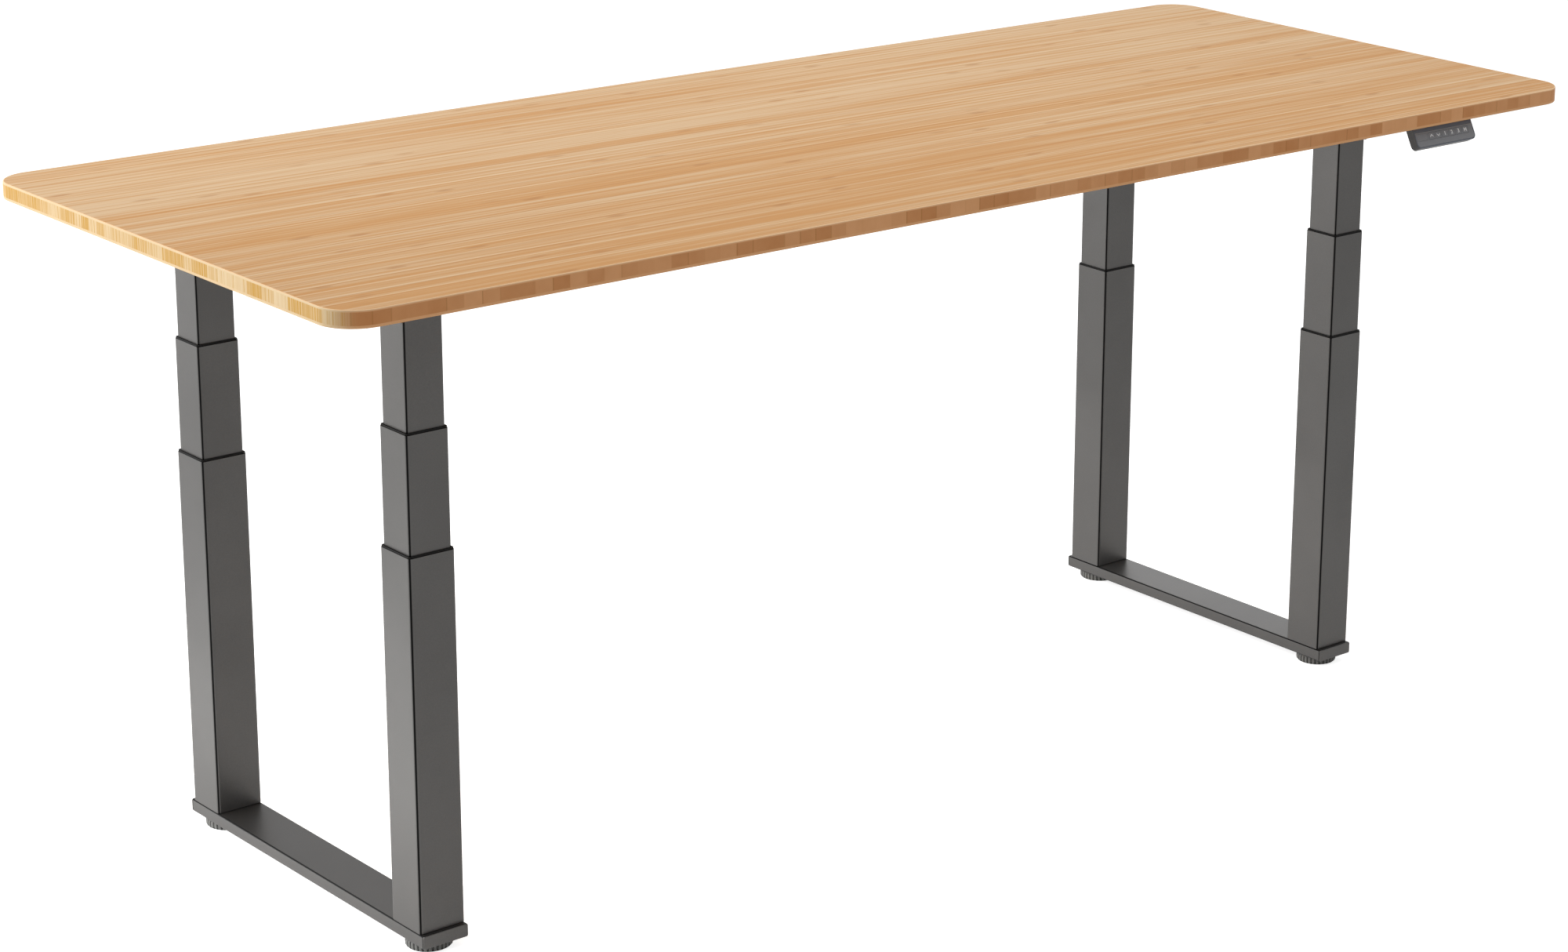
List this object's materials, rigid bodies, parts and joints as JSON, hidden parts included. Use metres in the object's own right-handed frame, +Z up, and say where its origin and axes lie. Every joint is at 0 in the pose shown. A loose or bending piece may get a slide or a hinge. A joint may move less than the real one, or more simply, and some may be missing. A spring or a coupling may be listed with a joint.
{
  "type": "height adjustable standing desk",
  "caption": "Height adjustable desk: bamboo desktop on four telescopic steel columns with motors, foot rails, levelling glides and a keypad.",
  "frame": {"origin": "on the floor under the centre of the desktop", "axes": "+X to the user's right along the desktop's length, -Y towards the user, +Z up"},
  "size_m": [1.9, 0.76, 0.83],
  "materials": {
    "bamboo": "pressed bamboo strips, clear satin lacquer",
    "powder_coat": "dark grey powder coat, satin with a fine texture",
    "black_plastic": "moulded plastic, fine matt texture",
    "keypad_grey": "moulded plastic, smooth satin",
    "display_window": "smoked, glossy",
    "bare_steel": "zinc plated, turned",
    "bronze": "turned bronze",
    "nylon": "moulded nylon",
    "cast_alloy": "die cast, fine blasted",
    "black_metal": "black paint, satin",
    "circuit_board": "green solder mask"
  },
  "bodies": {
    "base": {"foot_rail_left": "powder_coat", "foot_rail_right": "powder_coat", "rail_end_caps": "powder_coat", "glide_nuts": "bare_steel", "outer_tube_front_left": "powder_coat", "outer_tube_back_left": "powder_coat", "outer_tube_front_right": "powder_coat", "outer_tube_back_right": "powder_coat", "outer_sleeves": "black_plastic", "push_tubes": "bare_steel", "base_nuts": "nylon"},
    "middle_stages": {"middle_tube_front_left": "powder_coat", "middle_tube_back_left": "powder_coat", "middle_tube_front_right": "powder_coat", "middle_tube_back_right": "powder_coat", "middle_sleeves": "black_plastic", "middle_shoes": "nylon", "carrier_tubes": "bare_steel", "spindle_nuts": "nylon", "screw_bushes": "bronze"},
    "top": {"inner_tube_front_left": "powder_coat", "inner_tube_back_left": "powder_coat", "inner_tube_front_right": "powder_coat", "inner_tube_back_right": "powder_coat", "inner_shoes": "nylon", "gearbox_housings": "cast_alloy", "gearbox_lids": "cast_alloy", "drive_motors": "black_metal", "side_channel_left": "powder_coat", "side_channel_right": "powder_coat", "crossbars": "powder_coat", "crossbar_bolts": "bare_steel", "desktop": "bamboo", "desktop_screws": "bare_steel", "control_box": "black_plastic", "control_box_lid": "black_plastic", "control_board": "circuit_board", "keypad_housing": "black_plastic", "keypad_face": "keypad_grey", "keypad_board": "circuit_board", "keypad_window": "display_window"},
    "hollow_screw_front_left": {"hollow_screw_front_left": "bare_steel"},
    "hollow_screw_back_left": {"hollow_screw_back_left": "bare_steel"},
    "hollow_screw_front_right": {"hollow_screw_front_right": "bare_steel"},
    "hollow_screw_back_right": {"hollow_screw_back_right": "bare_steel"},
    "spindle_front_left": {"spindle_front_left": "bare_steel"},
    "spindle_back_left": {"spindle_back_left": "bare_steel"},
    "spindle_front_right": {"spindle_front_right": "bare_steel"},
    "spindle_back_right": {"spindle_back_right": "bare_steel"},
    "glide_front_left": {"glide_front_left": "black_plastic"},
    "glide_back_left": {"glide_back_left": "black_plastic"},
    "glide_front_right": {"glide_front_right": "black_plastic"},
    "glide_back_right": {"glide_back_right": "black_plastic"},
    "key_up": {"key_up": "keypad_grey"},
    "key_down": {"key_down": "keypad_grey"},
    "key_preset_1": {"key_preset_1": "keypad_grey"},
    "key_preset_2": {"key_preset_2": "keypad_grey"},
    "key_preset_3": {"key_preset_3": "keypad_grey"},
    "key_memory": {"key_memory": "keypad_grey"}
  },
  "joints": [
    {"name": "lift", "type": "slide", "parent": "base", "child": "top", "axis": [0, 0, 1], "range_m": [-0.23, 0.42]},
    {"name": "middle_slide", "type": "slide", "parent": "base", "child": "middle_stages", "axis": [0, 0, 1], "range_m": [-0.115, 0.21]},
    {"name": "turn_hollow_screw_front_left", "type": "hinge", "parent": "middle_stages", "child": "hollow_screw_front_left", "pos_m": [-0.733, -0.165, 0.3], "axis": [0, 0, 1], "range_deg": [-5180, 9455]},
    {"name": "turn_hollow_screw_back_left", "type": "hinge", "parent": "middle_stages", "child": "hollow_screw_back_left", "pos_m": [-0.733, 0.285, 0.3], "axis": [0, 0, 1], "range_deg": [-5180, 9455]},
    {"name": "turn_hollow_screw_front_right", "type": "hinge", "parent": "middle_stages", "child": "hollow_screw_front_right", "pos_m": [0.733, -0.165, 0.3], "axis": [0, 0, 1], "range_deg": [-5180, 9455]},
    {"name": "turn_hollow_screw_back_right", "type": "hinge", "parent": "middle_stages", "child": "hollow_screw_back_right", "pos_m": [0.733, 0.285, 0.3], "axis": [0, 0, 1], "range_deg": [-5180, 9455]},
    {"name": "turn_spindle_front_left", "type": "hinge", "parent": "top", "child": "spindle_front_left", "pos_m": [-0.733, -0.165, 0.6], "axis": [0, 0, 1], "range_deg": [-5180, 9455]},
    {"name": "turn_spindle_back_left", "type": "hinge", "parent": "top", "child": "spindle_back_left", "pos_m": [-0.733, 0.285, 0.6], "axis": [0, 0, 1], "range_deg": [-5180, 9455]},
    {"name": "turn_spindle_front_right", "type": "hinge", "parent": "top", "child": "spindle_front_right", "pos_m": [0.733, -0.165, 0.6], "axis": [0, 0, 1], "range_deg": [-5180, 9455]},
    {"name": "turn_spindle_back_right", "type": "hinge", "parent": "top", "child": "spindle_back_right", "pos_m": [0.733, 0.285, 0.6], "axis": [0, 0, 1], "range_deg": [-5180, 9455]},
    {"name": "turn_glide_front_left", "type": "hinge", "parent": "base", "child": "glide_front_left", "pos_m": [-0.733, -0.165, 0.006], "axis": [0, 0, -1], "range_deg": [0, 1440]},
    {"name": "turn_glide_back_left", "type": "hinge", "parent": "base", "child": "glide_back_left", "pos_m": [-0.733, 0.285, 0.006], "axis": [0, 0, -1], "range_deg": [0, 1440]},
    {"name": "turn_glide_front_right", "type": "hinge", "parent": "base", "child": "glide_front_right", "pos_m": [0.733, -0.165, 0.006], "axis": [0, 0, -1], "range_deg": [0, 1440]},
    {"name": "turn_glide_back_right", "type": "hinge", "parent": "base", "child": "glide_back_right", "pos_m": [0.733, 0.285, 0.006], "axis": [0, 0, -1], "range_deg": [0, 1440]},
    {"name": "press_key_up", "type": "slide", "parent": "top", "child": "key_up", "axis": [0, 0.891, -0.454], "range_m": [0, 0.0006], "stiffness_N_per_m": 2000, "springref_m": -0.0004},
    {"name": "press_key_down", "type": "slide", "parent": "top", "child": "key_down", "axis": [0, 0.891, -0.454], "range_m": [0, 0.0006], "stiffness_N_per_m": 2000, "springref_m": -0.0004},
    {"name": "press_key_preset_1", "type": "slide", "parent": "top", "child": "key_preset_1", "axis": [0, 0.891, -0.454], "range_m": [0, 0.0006], "stiffness_N_per_m": 2000, "springref_m": -0.0004},
    {"name": "press_key_preset_2", "type": "slide", "parent": "top", "child": "key_preset_2", "axis": [0, 0.891, -0.454], "range_m": [0, 0.0006], "stiffness_N_per_m": 2000, "springref_m": -0.0004},
    {"name": "press_key_preset_3", "type": "slide", "parent": "top", "child": "key_preset_3", "axis": [0, 0.891, -0.454], "range_m": [0, 0.0006], "stiffness_N_per_m": 2000, "springref_m": -0.0004},
    {"name": "press_key_memory", "type": "slide", "parent": "top", "child": "key_memory", "axis": [0, 0.891, -0.454], "range_m": [0, 0.0006], "stiffness_N_per_m": 2000, "springref_m": -0.0004}
  ],
  "couplings": [
    {"joint": "middle_slide", "follows": "lift", "ratio": 0.5},
    {"joint": "turn_hollow_screw_front_left", "follows": "lift", "rad_per_m": 392.7},
    {"joint": "turn_hollow_screw_back_left", "follows": "lift", "rad_per_m": 392.7},
    {"joint": "turn_hollow_screw_front_right", "follows": "lift", "rad_per_m": 392.7},
    {"joint": "turn_hollow_screw_back_right", "follows": "lift", "rad_per_m": 392.7},
    {"joint": "turn_spindle_front_left", "follows": "lift", "rad_per_m": 392.7},
    {"joint": "turn_spindle_back_left", "follows": "lift", "rad_per_m": 392.7},
    {"joint": "turn_spindle_front_right", "follows": "lift", "rad_per_m": 392.7},
    {"joint": "turn_spindle_back_right", "follows": "lift", "rad_per_m": 392.7}
  ]
}
